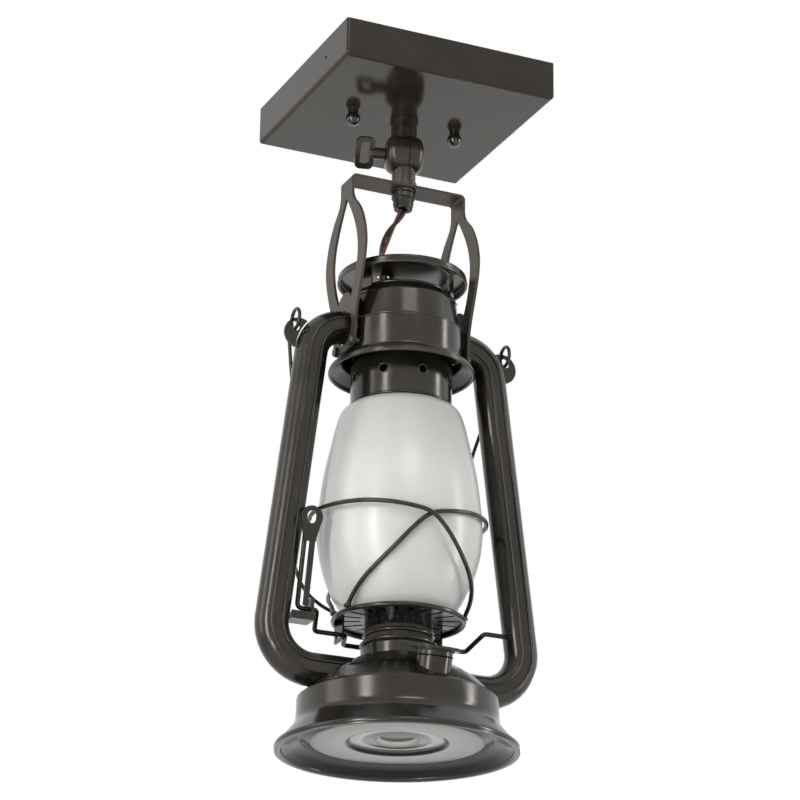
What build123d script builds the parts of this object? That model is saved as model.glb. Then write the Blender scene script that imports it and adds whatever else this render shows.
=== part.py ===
from build123d import *
import math
import os

# Semi flush ceiling light: a square canopy, a keyed swivel knuckle, a strap hanger and a barn lantern.
# Millimetres, +Z up. The origin is the centre of the canopy's rim in the plane of the ceiling.
# X runs along the hanger bar and through both side tubes.

# Clearances
thread_gap = 0.1
pivot_gap = 0.06
slip_gap = 0.3
seat_gap = 0.2

# Canopy and the crossbar that carries it
canopy_side = 127.0
canopy_depth = 22.4
canopy_sheet = 1.2
canopy_bend = 2.2
canopy_corner = 1.4
weep_hole_d = 2.4
weep_hole_y = -34.0
crossbar_length = 106.0
crossbar_width = 20.0
crossbar_thickness = 2.0
crossbar_eye_d = 13.0
box_screw_spacing = 79.4
box_slot_width = 4.8
box_slot_length = 14.2
ground_screw_x = 18.0
ground_screw_d = 4.0
ground_head_d = 8.0
ground_head_h = 2.4
knob_spacing = 63.5
knob_ball_d = 8.4
knob_neck_d = 6.0
knob_neck_h = 0.5
canopy_screw_d = 4.0

# Threaded stem and its nuts
stem_d = 9.8
stem_bore = 7.2
stem_in_canopy = 9.5
washer_d = 18.0
washer_t = 1.0
locknut_flats = 14.0
locknut_h = 3.2

# Supply leads inside the canopy
lead_d = 2.4
lead_offset = 1.5
lead_reach = 24.0
lead_rise = 3.6
wire_nut_length = 15.0
wire_nut_d_small = 4.6
wire_nut_d_large = 8.0

# Swivel knuckle with its key
pivot_drop = 21.1
pivot_turn = -15.0
knuckle_collar_d = 15.9
knuckle_collar_h = 3.2
upper_neck_d = 14.8
lower_neck_d = 13.6
lower_flange_d = 15.0
lower_flange_h = 2.6
barrel_d = 22.4
barrel_width = 21.0
barrel_round = 5.5
barrel_hollow_d = 15.6
seam_offset = 1.8
friction_washer_t = 0.6
friction_washer_d = 21.0
key_screw_d = 4.8
key_boss_d = 6.9
key_boss_h = 9.0
key_loop_turn = 40.0
key_loop_length = 10.6
key_loop_height = 18.4
key_loop_bar = 2.6
key_loop_t = 2.8
key_loop_corner = 3.0

# Hanger strap
bar_drop = 20.8
strap_t = 1.5
strap_bend = 3.0
bar_width = 15.5
strap_leg = 105.2
leg_neck = 9.0
leg_wide = 54.0
leg_wide_drop = 46.5
leg_foot_width = 28.6
leg_foot_drop = 98.0
leg_foot_corner = 6.0
window_top = 12.7
window_width = 34.0
window_notch = 17.5
window_low = 75.2
window_lobe = 4.8
hanger_nut_d = 14.2
hanger_nut_h = 5.5
hanger_groove = 0.7
grip_top_d = 11.8
grip_end_d = 10.2
grip_h = 6.0
grip_ribs = 8
grip_rib_d = 2.4
lead_pair_d = 4.6
lead_entry = 2.0
bolt_d = 3.4
bolt_head_d = 5.4
bolt_head_h = 1.6
bolt_inside = 6.2
bolt_side = 10.3
bolt_drop = 10.6
bolt_nut_flats = 5.5
bolt_nut_h = 1.5

# Side tubes
tube_drop = 91.1
tube_height = 196.1
tube_d = 18.2
tube_wall = 0.8
tube_bead = 1.6
tube_bead_rise = 0.45
tube_bead_angle = 21.0
tube_channel = 0.5
tube_top_corner = 52.1
tube_low_corner = 76.2
tube_top_bend = 19.0
tube_low_bend = 23.0
tube_top_end = 29.5
tube_low_end = 21.5

# Air chamber and crown
sheet = 0.8
throat_step = 4.0
cap_throat_rise = 24.1
cap_taper = 1.1
cap_shoulder_rise = 18.6
cap_wall_gap = 0.9
cap_lap = 5.4
throat_bead_d = 1.6
seam_rise = 2.9
band_d = 66.4
band_height = 18.2
brim_d = 80.2
brim_drop = 4.4
brim_lip = 2.3
crown_rise = 36.1
crown_overhang = 1.0
crown_panel_d = 51.0
crown_step = 1.2
crown_step_run = 1.6
crown_lip = 4.4
crown_tab_width = 7.0
crown_tab_t = 0.9
crown_tab_stand = 1.2
crown_tab_flange = 5.0
crown_tab_foot = 2.4
crown_tab_start = 82.0
crown_tab_count = 3
cord_hole_room = 1.2

# Lamp holder
bracket_rise = 14.0
bracket_width = 12.0
bracket_t = 1.5
bracket_tab = 7.0
socket_hub_d = 9.8
socket_hub_h = 4.5
socket_nut_flats = 13.0
socket_nut_h = 2.5
socket_d = 34.0
socket_h = 38.0
socket_top_t = 4.0
bulb_cap_d = 26.0
bulb_cap_h = 25.0
bulb_d = 46.0
bulb_length = 82.0

# Globe, its plate and its guard
globe_top_d = 52.4
globe_neck_h = 9.6
globe_d = 90.0
globe_foot_d = 55.0
globe_h = 129.0
globe_wall = 2.2
collar_d = 56.0
collar_h = 27.6
collar_bead_d = 1.6
collar_hole_d = 5.0
collar_hole_rise = 15.0
collar_hole_count = 8
plate_d = 72.8
plate_bead_d = 2.8
hub_d = 36.6
hub_wall = 1.3
hub_h = 5.9
plate_slot_count = 20
plate_slot_width = 2.0
plate_slot_in = 20.5
plate_slot_out = 33.0
guard_d = 2.4
guard_gap = 1.7
guard_layer_gap = 0.15
guard_high = 54.0
guard_foot_angle = 161.0
guard_shift = 4.3
lift_ear_x = 29.0
lift_ear_t = 1.2
lift_ear_margin = 2.2

# Lift lever
crank_d = 2.6
crank_drop = 0.2
crank_throw = 14.0
crank_bend = 2.6
crank_rest = -35.0
crank_web_x = 47.5
crank_jog_x = 22.5
crank_jog = 24.4
crank_jog_angle = -24.5
crank_arm_x = 59.0
crank_end = 66.0
lever_lean = 13.0
lever_arm = 44.0
lever_eye_at = 48.5
lever_eye_d = 12.2
lever_eye_hole = 5.4
lever_tab_t = 1.2
lever_tab_x = 57.0
lever_tab_low = 35.5
lever_strip_x = 55.2
lever_strip_w = 3.0
lever_bracket_x = 52.0
lever_bracket_t = 1.6
lever_bracket_w = 10.0
lever_bracket_low = 7.5
lever_bracket_web = 4.5

# Carrying bail and its ears
ear_d = 17.5
ear_t = 1.6
ear_x = 61.5
ear_drop = 7.6
ear_hole_d = 5.4
bail_d = 2.0
eye_x = 63.8
eye_rise = 0.4
eye_r = 5.6
bail_rest = 15.0
bail_length = 156.0
bail_low_half = 20.0
bail_corner_half = 38.0
bail_corner_rise = 10.0
bail_knee_half = 47.0
bail_knee_rise = 28.0
bail_mid_half = 52.5
bail_mid = 62.0
bail_upper_half = 58.0
bail_upper = 40.0
bail_leg_half = 64.3
bail_jog = 9.0

# Tank, burner and filler
land_rise = 11.3
land_d = 44.0
dome_mid_d = 82.8
dome_mid_drop = 11.3
dome_low_drop = 22.0
dome_land_bend = 14.0
dome_mid_bend = 24.0
dome_edge_bend = 5.0
skirt_d = 105.6
skirt_h = 5.0
wall_top_d = 107.4
wall_low_d = 108.2
wall_top_drop = 11.2
wall_low_drop = 24.8
flare_round = 1.2
flare_drop = 36.1
rim_d = 129.6
rim_drop = 39.2
rim_lip = 2.4
flare_bend = 9.0
rim_bend = 1.1
floor_slope_run = 12.8
floor_rise = 7.2
floor_groove_run = 6.0
floor_groove = 2.0
floor_boss_d = 54.0
floor_boss_rise = 1.8
floor_ring_d = 37.0
floor_ring_fall = 0.7
floor_dimple_d = 24.0
floor_dimple_rise = 2.4
floor_centre_d = 6.0
floor_bend = 2.0
burner_d = 40.6
burner_h = 6.5
burner_lip = 2.4
cone_low_d = 39.0
cone_top_d = 35.2
cone_h = 9.3
cone_ring_h = 1.6
guide_d = 33.0
guide_h = 12.4
filler_r = 41.4
filler_azimuth = -88.0
filler_tilt = 15.0
filler_neck_d = 19.0
filler_neck_wall = 1.4
filler_neck_h = 5.9
filler_neck_in = 6.0
filler_thread_d = 20.4
filler_thread_h = 0.8
filler_thread_drop = 2.5
filler_gasket_t = 0.8
filler_cap_d = 26.0
filler_cap_h = 1.8
filler_plug_h = 4.0

# Levels worked out from the sizes above
z_pan = -canopy_depth
z_pivot = z_pan - pivot_drop
z_bar = z_pivot - bar_drop
z_bar_under = z_bar - strap_t
z_nut_under = z_bar_under - hanger_nut_h
z_grip_under = z_nut_under - grip_h
z_tube = z_bar - tube_drop
z_foot = z_tube - tube_height
z_seam = z_tube + seam_rise
z_band_low = z_seam - band_height
z_brim = z_band_low - brim_drop
z_crown = z_tube + crown_rise
z_bracket = z_tube + bracket_rise
z_socket_top = z_bracket + socket_hub_h - bracket_t
z_land = z_foot + land_rise
z_rim = z_foot - rim_drop
z_burner = z_land + burner_h
z_seat = z_burner + cone_h
z_plate = z_seat + hub_h
z_plate_top = z_plate + sheet
z_globe_top = z_plate_top + globe_h
z_neck = z_globe_top - globe_neck_h
z_collar_low = z_neck + slip_gap
z_crank = z_plate - crank_drop
z_eye = z_tube + eye_rise

tube_r = tube_d / 2
tube_reach = tube_r + tube_bead_rise
leg_in = band_d / 2 + slip_gap
leg_out = leg_in + strap_t
cap_wall_d = band_d - 2 * (sheet + cap_wall_gap)
cap_shoulder_d = cap_wall_d - 2 * cap_taper
cap_throat_d = cap_shoulder_d - 2 * throat_step
crown_d = 2 * (leg_out + crown_overhang)
crown_tab_d = cap_throat_d + 2 * crown_tab_stand
flare_d = rim_d - 2 * flare_round
floor_d = rim_d - 2 * floor_slope_run
floor_flat_d = floor_d - 2 * floor_groove_run
pivot_axis = Vector(1, 0, 0).rotate(Axis.Z, pivot_turn)


def turned(*points):
    """Solid of revolution about Z from a closed (radius, height) outline."""
    return revolve(make_face(Plane.XZ * Polyline(*points, close=True)), Axis.Z)


def turned_sheet(points, radii, wall, side=Side.RIGHT):
    """Sheet of even thickness turned about Z along a rounded (radius, height) line."""
    line = FilletPolyline(*points, radius=radii)
    return revolve(make_face(Plane.XZ * line.offset_2d(wall, side=side)), Axis.Z)


def rod(start, end, diameter):
    """Straight round bar between two points."""
    start = Vector(*start)
    run = Vector(*end) - start
    return extrude(Plane(origin=start, z_dir=run.normalized()) * Circle(diameter / 2), amount=run.length)


def ring(z_low, z_high, outer_d, inner_d):
    """Flat ring about Z."""
    return turned((inner_d / 2, z_low), (outer_d / 2, z_low), (outer_d / 2, z_high), (inner_d / 2, z_high))


def hex_nut(z_low, height, flats, bore):
    """Hexagon nut about Z."""
    body = extrude(Plane.XY.offset(z_low) * RegularPolygon(flats / math.sqrt(3), 6), amount=height)
    return body - rod((0, 0, z_low - 1), (0, 0, z_low + height + 1), bore)


def corner_radii(points, share=0.45):
    """Largest even bend at each corner of a route: a share of the shorter run beside it."""
    route = [Vector(*p) for p in points]
    radii = []
    for before, here, after in zip(route, route[1:], route[2:]):
        turn = math.radians((here - before).get_angle(after - here))
        radii.append(share * min((here - before).length, (after - here).length) / math.tan(turn / 2))
    return radii


def wire(points, diameter, radii=None):
    """Round wire along straight runs joined by tangent arcs."""
    path = FilletPolyline(*points, radius=radii or corner_radii(points))
    return sweep(Plane(origin=path @ 0, z_dir=path % 0) * Circle(diameter / 2), path=path)


def both_sides(point_list):
    """Open outline mirrored in the X = 0 plane, from the far left to the far right."""
    return [(-p[0],) + tuple(p[1:]) for p in reversed(point_list)] + list(point_list)


# Canopy group
def canopy_pan():
    outer = Pos(0, 0, z_pan / 2) * Box(canopy_side, canopy_side, canopy_depth)
    outer = fillet(outer.edges().filter_by(Axis.Z), canopy_corner)
    outer = fillet(outer.faces().sort_by(Axis.Z)[0].edges(), canopy_bend)
    room = canopy_side - 2 * canopy_sheet
    inner = Pos(0, 0, (z_pan + canopy_sheet) / 2) * Box(room, room, canopy_depth - canopy_sheet)
    inner = fillet(inner.faces().sort_by(Axis.Z)[0].edges(), canopy_bend - canopy_sheet)
    pan = outer - inner
    pan -= rod((0, 0, z_pan - 1), (0, 0, z_pan + 5), stem_d + 2 * thread_gap)
    for x in (-knob_spacing / 2, knob_spacing / 2):
        pan -= rod((x, 0, z_pan - 1), (x, 0, z_pan + 5), canopy_screw_d + 2 * slip_gap)
    side = canopy_side / 2
    pan -= rod((-side - 1, weep_hole_y, z_pan / 2), (-side + 3, weep_hole_y, z_pan / 2), weep_hole_d)
    return pan


def crossbar():
    bar = Pos(0, 0, -crossbar_thickness / 2) * Box(crossbar_length, crossbar_width, crossbar_thickness)
    bar = fillet(bar.edges().filter_by(Axis.Z), crossbar_width / 4)
    bar -= rod((0, 0, 1), (0, 0, -2 * crossbar_thickness), crossbar_eye_d)
    slot = SlotOverall(box_slot_length, box_slot_width)
    for x in (-box_screw_spacing / 2, box_screw_spacing / 2):
        bar -= extrude(Plane.XY.offset(1) * Pos(x, 0) * slot, amount=-3 * crossbar_thickness)
    for x in (-knob_spacing / 2, knob_spacing / 2):
        bar -= rod((x, 0, 1), (x, 0, -2 * crossbar_thickness), canopy_screw_d + 2 * thread_gap)
    ground = (ground_screw_x, 0)
    bar -= rod((*ground, 1), (*ground, -2 * crossbar_thickness), ground_screw_d + 2 * thread_gap)
    return bar


def ground_screw():
    x = ground_screw_x
    shank = rod((x, 0, -seat_gap), (x, 0, -crossbar_thickness), ground_screw_d)
    z_head = -crossbar_thickness
    head = rod((x, 0, z_head), (x, 0, z_head - ground_head_h), ground_head_d)
    slot_depth = ground_head_h / 2
    head -= Pos(x, 0, z_head - ground_head_h) * Box(ground_head_d, ground_head_h / 3, slot_depth)
    return shank + head


z_ball = z_pan - knob_neck_h - knob_ball_d / 2
z_screw_end = z_ball


def canopy_screws():
    sides = (-knob_spacing / 2, knob_spacing / 2)
    return [rod((x, 0, -seat_gap), (x, 0, z_screw_end), canopy_screw_d) for x in sides]


def canopy_knobs():
    knobs = []
    for x in (-knob_spacing / 2, knob_spacing / 2):
        knob = Pos(x, 0, z_ball) * Sphere(knob_ball_d / 2)
        knob += rod((x, 0, z_ball), (x, 0, z_pan), knob_neck_d)
        knob -= rod((x, 0, z_pan + 1), (x, 0, z_screw_end - seat_gap), canopy_screw_d + 2 * thread_gap)
        knobs.append(knob)
    return knobs


z_inside = z_pan + canopy_sheet
z_stem_top = z_inside + stem_in_canopy
z_neck_top = z_pan - knuckle_collar_h


def stem_nipple():
    return ring(z_stem_low, z_stem_top, stem_d, stem_bore)


def stem_washer():
    return ring(z_inside, z_inside + washer_t, washer_d, stem_d + 2 * thread_gap)


def stem_locknut():
    return hex_nut(z_inside + washer_t, locknut_h, locknut_flats, stem_d + 2 * thread_gap)


def lead_route(side):
    top = z_stem_top + lead_rise
    start = (0, side * lead_offset, z_stem_top - stem_in_canopy / 2)
    return [start, (0, side * lead_offset, top), (0, side * lead_reach, top)]


def supply_leads():
    bend = 2 * lead_d
    return [wire(lead_route(side), lead_d, radii=bend) for side in (-1, 1)]


def wire_nuts():
    nuts = []
    for side in (-1, 1):
        y, z = lead_route(side)[-1][1:]
        cone = Cone(wire_nut_d_large / 2, wire_nut_d_small / 2, wire_nut_length)
        nuts.append(Pos(0, y + side * wire_nut_length / 2, z) * Rot(-90 * side, 0, 0) * cone)
    return nuts


# Swivel knuckle: the left half hangs from the canopy, the right half carries the lantern
def along_pivot(distance):
    """Point on the pivot axis, measured from the middle of the knuckle."""
    return Vector(0, 0, z_pivot) + pivot_axis * distance


face_low = -barrel_width / 2
face_high = barrel_width / 2
upper_seam = seam_offset - friction_washer_t / 2
lower_seam = seam_offset + friction_washer_t / 2
stem_hole_d = stem_d + 2 * thread_gap
pivot_room_r = barrel_d / 2 + slip_gap
barrel_middle = (barrel_d + barrel_hollow_d) / 4
z_stem_low = z_pivot + pivot_room_r + slip_gap
z_hanger_top = z_pivot - pivot_room_r - slip_gap
pivot_plane = Plane(origin=(0, 0, z_pivot), x_dir=pivot_axis, z_dir=pivot_axis.cross(Vector(0, 0, 1)))
pivot_line = Axis(origin=(0, 0, z_pivot), direction=pivot_axis)


def about_pivot(*lines):
    """Solid of revolution about the pivot axis from lines in the (along, out) plane."""
    edges = [edge for line in lines for edge in line.edges()]
    return revolve(make_face(pivot_plane * Wire(edges)), pivot_line)


def on_circle(along, radius):
    return (along, math.sqrt(radius ** 2 - along ** 2))


def arc_about(start, end, radius):
    """Arc about the pivot between two distances along it."""
    middle = (start + end) / 2
    return ThreePointArc(on_circle(start, radius), on_circle(middle, radius), on_circle(end, radius))


def half_shell(seam, face):
    """Hollow half barrel between the seam and its flat face, bored for the key's screw."""
    outer = barrel_d / 2
    inner = barrel_hollow_d / 2
    bore = key_screw_d / 2 + pivot_gap
    side = 1 if face > seam else -1
    inner_end = side * math.sqrt(inner ** 2 - bore ** 2)
    shoulder = face - side * barrel_round
    flat = outer - barrel_round
    slant = barrel_round * (1 - math.sqrt(0.5))
    return about_pivot(
        Polyline(on_circle(seam, inner), (seam, outer), (shoulder, outer)),
        ThreePointArc((shoulder, outer), (face - side * slant, outer - slant), (face, flat)),
        Polyline((face, flat), (face, bore), (inner_end, bore)),
        arc_about(inner_end, seam, inner),
    )


def half_room(seam, side):
    """Room that the other half of the knuckle turns in."""
    end = side * (barrel_width / 2 + slip_gap)
    return about_pivot(Polyline((seam, 0), (end, 0), (end, pivot_room_r), (seam, pivot_room_r), close=True))


def neck_reach(neck_d):
    """How near to the pivot a neck comes, so that it ends inside the barrel's wall."""
    return math.sqrt((barrel_d / 2) ** 2 - (neck_d / 2) ** 2) - slip_gap


def knuckle_collar():
    return ring(z_pan - knuckle_collar_h, z_pan, knuckle_collar_d, stem_hole_d)


def knuckle_upper():
    neck = rod((0, 0, z_neck_top), (0, 0, z_pivot + neck_reach(upper_neck_d)), upper_neck_d)
    half = half_shell(upper_seam, face_low) + (neck - half_room(upper_seam, 1))
    half -= rod((0, 0, z_neck_top + 1), (0, 0, z_pivot + barrel_middle), stem_hole_d)
    return half - rod((0, 0, z_neck_top), (0, 0, z_pivot), stem_bore)


def knuckle_washer():
    disc = rod(along_pivot(upper_seam), along_pivot(lower_seam), friction_washer_d)
    return disc - rod(along_pivot(-barrel_d), along_pivot(barrel_d), barrel_hollow_d)


def knuckle_lower():
    neck = rod((0, 0, z_bar), (0, 0, z_pivot - neck_reach(lower_neck_d)), lower_neck_d)
    neck += rod((0, 0, z_bar), (0, 0, z_bar + lower_flange_h), lower_flange_d)
    half = half_shell(lower_seam, face_high) + (neck - half_room(lower_seam, -1))
    half -= rod((0, 0, z_bar - 1), (0, 0, z_pivot - barrel_middle), stem_hole_d)
    return half - rod((0, 0, z_bar), (0, 0, z_pivot), stem_bore)


def knuckle_key():
    boss_in = face_low - seat_gap
    boss_out = boss_in - key_boss_h
    key = rod(along_pivot(boss_in), along_pivot(boss_out), key_boss_d)
    key = chamfer(key.edges().group_by(SortBy.LENGTH)[-1], key_boss_d / 12)
    key += rod(along_pivot(boss_in), along_pivot(face_high - seat_gap), key_screw_d)
    middle = boss_out - key_loop_length / 2 + key_loop_bar
    key_line = Axis(origin=(0, 0, 0), direction=pivot_axis)
    facing = pivot_axis.cross(Vector(0, 0, 1)).rotate(key_line, key_loop_turn)
    frame = Plane(origin=along_pivot(middle), x_dir=pivot_axis, z_dir=facing)
    loop = RectangleRounded(key_loop_length, key_loop_height, key_loop_corner)
    gap_length = key_loop_length - 2 * key_loop_bar
    gap_height = key_loop_height - 2 * key_loop_bar
    loop -= RectangleRounded(gap_length, gap_height, key_loop_corner - key_loop_bar / 2)
    key += extrude(frame * loop, amount=key_loop_t / 2, both=True)
    return key


# Strap hanger with the lead's grip
def hanger_nipple():
    return ring(z_grip_under + grip_h / 4, z_hanger_top, stem_d, stem_bore)


def leg_outline():
    """Half outline of the strap across its width: (half width, drop below the bar's top)."""
    waist = bar_width / 2
    rounding = (leg_wide / 2 - waist)
    return [
        (waist, leg_neck),
        (waist + 0.37 * rounding, 0.45 * leg_wide_drop),
        (waist + 0.91 * rounding, 0.82 * leg_wide_drop),
        (leg_wide / 2, leg_wide_drop),
        (0.43 * leg_wide, 1.4 * leg_wide_drop),
        (0.56 * leg_foot_width, 0.86 * leg_foot_drop),
        (leg_foot_width / 2, leg_foot_drop),
    ]


def hanger_strap():
    low = z_bar - strap_leg
    shape = FilletPolyline(
        (-leg_out, low), (-leg_out, z_bar), (leg_out, z_bar), (leg_out, low), radius=strap_bend
    )
    strip = make_face(Plane.XZ * shape.offset_2d(strap_t, side=Side.RIGHT))
    strip = extrude(strip, amount=leg_wide, both=True)
    half = leg_outline()
    right = Spline(*[(w, z_bar - d) for w, d in half], tangents=((0, -1), (0, -1)))
    left = Spline(*[(-w, z_bar - d) for w, d in half], tangents=((0, -1), (0, -1)))
    waist = bar_width / 2
    foot = leg_foot_width / 2
    z_waist = z_bar - leg_neck
    top = Polyline((-waist, z_waist), (-waist, z_bar + 1), (waist, z_bar + 1), (waist, z_waist))
    bottom = FilletPolyline(
        (-foot, z_bar - leg_foot_drop), (-foot, low), (foot, low), (foot, z_bar - leg_foot_drop),
        radius=leg_foot_corner,
    )
    outline = make_face(Plane.YZ * Wire([*right.edges(), *left.edges(), *top.edges(), *bottom.edges()]))
    strap = strip & extrude(outline, amount=2 * leg_out, both=True)
    strap -= extrude(strap_window(), amount=2 * leg_out, both=True)
    strap -= rod((-2 * leg_out, 0, z_tube), (2 * leg_out, 0, z_tube), 2 * (tube_reach + slip_gap))
    for y in (-bolt_side, bolt_side):
        z = z_tube - bolt_drop
        strap -= rod((-2 * leg_out, y, z), (2 * leg_out, y, z), bolt_d + 2 * thread_gap)
    strap -= rod((0, 0, z_bar + 1), (0, 0, z_bar - 3 * strap_t), stem_hole_d)
    return strap


def strap_window():
    """Flame shaped opening of a strap leg, with a rounded lobe rising from its foot."""
    deep = window_low - window_top
    wide = window_width / 2
    notch = window_notch / 2
    half = [
        (0, window_top),
        (0.6 * wide, window_top + 0.24 * deep),
        (wide, window_top + 0.56 * deep),
        (0.86 * wide, window_top + 0.8 * deep),
        (notch, window_low),
    ]
    right = Spline(*[(w, z_bar - d) for w, d in half])
    left = Spline(*[(-w, z_bar - d) for w, d in half])
    z_notch = z_bar - window_low
    lobe = ThreePointArc((-notch, z_notch), (0, z_notch + window_lobe), (notch, z_notch))
    return make_face(Plane.YZ * Wire([*right.edges(), *left.edges(), *lobe.edges()]))


def hanger_nut():
    top = hanger_nut_d / 2
    low = top - hanger_groove / 2
    z_groove = z_bar_under - hanger_nut_h / 3
    z_groove_low = z_groove - hanger_groove
    bore = stem_hole_d / 2
    return turned(
        (bore, z_nut_under), (low - hanger_groove, z_nut_under), (low, z_nut_under + hanger_groove),
        (low, z_groove_low), (low - hanger_groove, z_groove_low), (low - hanger_groove, z_groove),
        (top, z_groove), (top, z_bar_under), (bore, z_bar_under),
    )


def cord_grip():
    grip = Pos(0, 0, z_nut_under - grip_h / 2) * Cone(grip_end_d / 2, grip_top_d / 2, grip_h)
    for step in range(grip_ribs):
        turn = step * 360 / grip_ribs
        top = Vector(grip_top_d / 2 - grip_rib_d / 3, 0, z_nut_under - grip_rib_d / 2).rotate(Axis.Z, turn)
        end = Vector(grip_end_d / 2 - grip_rib_d / 3, 0, z_grip_under + grip_rib_d / 2).rotate(Axis.Z, turn)
        grip += rod(top, end, grip_rib_d)
    grip -= rod((0, 0, z_nut_under + 1), (0, 0, z_grip_under + grip_h / 4 - slip_gap), stem_hole_d)
    grip -= rod((0, 0, z_nut_under), (0, 0, z_grip_under - 1), lead_pair_d + 2 * slip_gap)
    return grip


# The lead leaves the grip, bows out to the left and comes back to the lamp holder.
# Sideways is the direction of the bow seen from above.
lead_bow = Vector(-0.91, 0.415, 0)
lead_points = [(0, 0), (2.2, 5.2), (7.2, 12.6), (11.0, 22.5), (12.4, 33.0), (10.6, 43.0), (3.8, 52.0)]


def lead_route_free():
    """Route of the free lead, from the grip's lower face to the lamp holder's hub."""
    top = Vector(0, 0, z_grip_under)
    route = [top + lead_bow * side - Vector(0, 0, drop) for side, drop in lead_points]
    return [tuple(p) for p in route] + [(0, 0, z_socket_top - lead_entry)]


def twin_lead():
    return wire(lead_route_free(), lead_pair_d)


def crown_hole():
    """Where the lead passes the crown."""
    route = [Vector(*p) for p in lead_route_free()]
    for above, below in zip(route, route[1:]):
        if above.Z >= z_crown >= below.Z:
            share = (above.Z - z_crown) / (above.Z - below.Z)
            return above + (below - above) * share
    return Vector(0, 0, z_crown)


def bolt_places():
    return [(side, y) for side in (-1, 1) for y in (-bolt_side, bolt_side)]


bolt_end = band_d / 2 - bolt_inside


def strap_bolts():
    z = z_tube - bolt_drop
    bolts = []
    for side, y in bolt_places():
        shank = rod((side * leg_out, y, z), (side * bolt_end, y, z), bolt_d)
        head = rod((side * leg_out, y, z), (side * (leg_out + bolt_head_h), y, z), bolt_head_d)
        outside = head.faces().sort_by(Axis.X)[-1 if side > 0 else 0]
        bolts.append(shank + fillet(outside.edges(), bolt_head_h * 0.45))
    return bolts


def strap_nuts():
    z = z_tube - bolt_drop
    inner = band_d / 2 - sheet
    corner = bolt_side + bolt_nut_flats / math.sqrt(3)
    face = math.sqrt(inner ** 2 - corner ** 2) - seat_gap
    nuts = []
    for side, y in bolt_places():
        seat = Plane(origin=(side * face, y, z), x_dir=(0, 0, 1), z_dir=(-side, 0, 0))
        nut = extrude(seat * RegularPolygon(bolt_nut_flats / math.sqrt(3), 6), amount=bolt_nut_h)
        nuts.append(nut - rod((side * band_d, y, z), (0, y, z), bolt_d + 2 * thread_gap))
    return nuts


# Side tubes
def tube_path(side):
    points = [
        (side * tube_top_end, 0, z_tube),
        (side * tube_top_corner, 0, z_tube),
        (side * tube_low_corner, 0, z_foot),
        (side * tube_low_end, 0, z_foot),
    ]
    return FilletPolyline(*points, radius=[tube_top_bend, tube_low_bend])


def tube_section(side, outer_r, beads=True):
    """Round section with a shallow channel between two beads, front and back."""
    section = Circle(outer_r)
    if beads:
        span = math.radians(tube_bead_angle)
        for face in (-1, 1):
            width = 2 * outer_r * math.sin(span)
            middle = face * (outer_r * math.cos(span) + tube_r / 2 - tube_channel)
            section -= Pos(middle, 0) * Rectangle(tube_r, width)
            for turn in (-span, span):
                reach = outer_r + tube_bead_rise - tube_bead / 2
                section += Pos(face * reach * math.cos(turn), reach * math.sin(turn)) * Circle(tube_bead / 2)
    return Plane(origin=(side * tube_top_end, 0, z_tube), x_dir=(0, 1, 0), z_dir=(side, 0, 0)) * section


def tube_room(side, gap):
    """Plain round bar a little larger than a side tube, for what the tube passes through."""
    return sweep(tube_section(side, tube_reach + gap, beads=False), path=tube_path(side))


def side_tube(side):
    path = tube_path(side)
    tube = sweep(tube_section(side, tube_r), path=path)
    bore_r = tube_r * math.cos(math.radians(tube_bead_angle)) - tube_channel - tube_wall
    tube -= sweep(tube_section(side, bore_r, beads=False), path=path)
    return tube


def left_tube():
    return side_tube(-1)


def right_tube():
    hole_from = (tube_low_corner - 2 * tube_r, 0, z_crank)
    return side_tube(1) - rod(hole_from, (crank_end + slip_gap, 0, z_crank), crank_d + 2 * pivot_gap)


def run_room(side, low_end, z):
    """Round passage for one of a side tube's level runs."""
    return rod((side * low_end, 0, z), (side * 2 * tube_low_corner, 0, z), 2 * (tube_reach + seat_gap))


# Air chamber and crown
def cone_level(radius):
    """Height of the chamber's sloping shoulder at a radius."""
    run = (radius - cap_throat_d / 2) / (cap_shoulder_d - cap_throat_d) * 2
    return z_tube + cap_throat_rise - run * (cap_throat_rise - cap_shoulder_rise)


def cut_for_bolts(shell):
    z = z_tube - bolt_drop
    for y in (-bolt_side, bolt_side):
        shell -= rod((-band_d, y, z), (band_d, y, z), bolt_d + 2 * thread_gap)
    return shell


def chamber_cap():
    wall_r = cap_wall_d / 2
    points = [
        (cap_throat_d / 2, z_tube + cap_throat_rise),
        (cap_shoulder_d / 2, z_tube + cap_shoulder_rise),
        (wall_r, z_seam),
        (wall_r, z_seam - cap_lap),
    ]
    cap = turned_sheet(points, [3 * sheet, 3 * sheet], sheet)
    bead_at = Pos(cap_throat_d / 2 - throat_bead_d / 4, z_tube + cap_throat_rise)
    cap += revolve(Plane.XZ * bead_at * Circle(throat_bead_d / 2), Axis.Z)
    for side in (-1, 1):
        cap -= run_room(side, tube_top_end / 2, z_tube)
    return cap


def chamber_band():
    wall_r = band_d / 2
    points = [
        (cap_wall_d / 2 + seat_gap, z_seam),
        (wall_r, z_seam),
        (wall_r, z_band_low),
        (brim_d / 2, z_brim),
        (brim_d / 2, z_brim - brim_lip),
    ]
    band = turned_sheet(points, [sheet, 2 * sheet, 1.5 * sheet], sheet)
    for side in (-1, 1):
        band -= run_room(side, tube_top_end / 2, z_tube)
    return cut_for_bolts(band)


def crown():
    step = z_crown + crown_step
    points = [
        (sheet / 10, step),
        (crown_panel_d / 2, step),
        (crown_panel_d / 2 + crown_step_run, z_crown),
        (crown_d / 2, z_crown),
        (crown_d / 2, z_crown - crown_lip),
    ]
    disc = turned_sheet(points, [0.8 * sheet, 1.6 * sheet, 1.6 * sheet], sheet)
    disc += rod((0, 0, step - sheet), (0, 0, step), sheet)
    place = crown_hole()
    hole_d = lead_pair_d + 2 * cord_hole_room
    high = (place.X, place.Y, z_crown + 3 * crown_step)
    return disc - rod(high, (place.X, place.Y, z_crown - 3 * crown_lip), hole_d)


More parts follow.
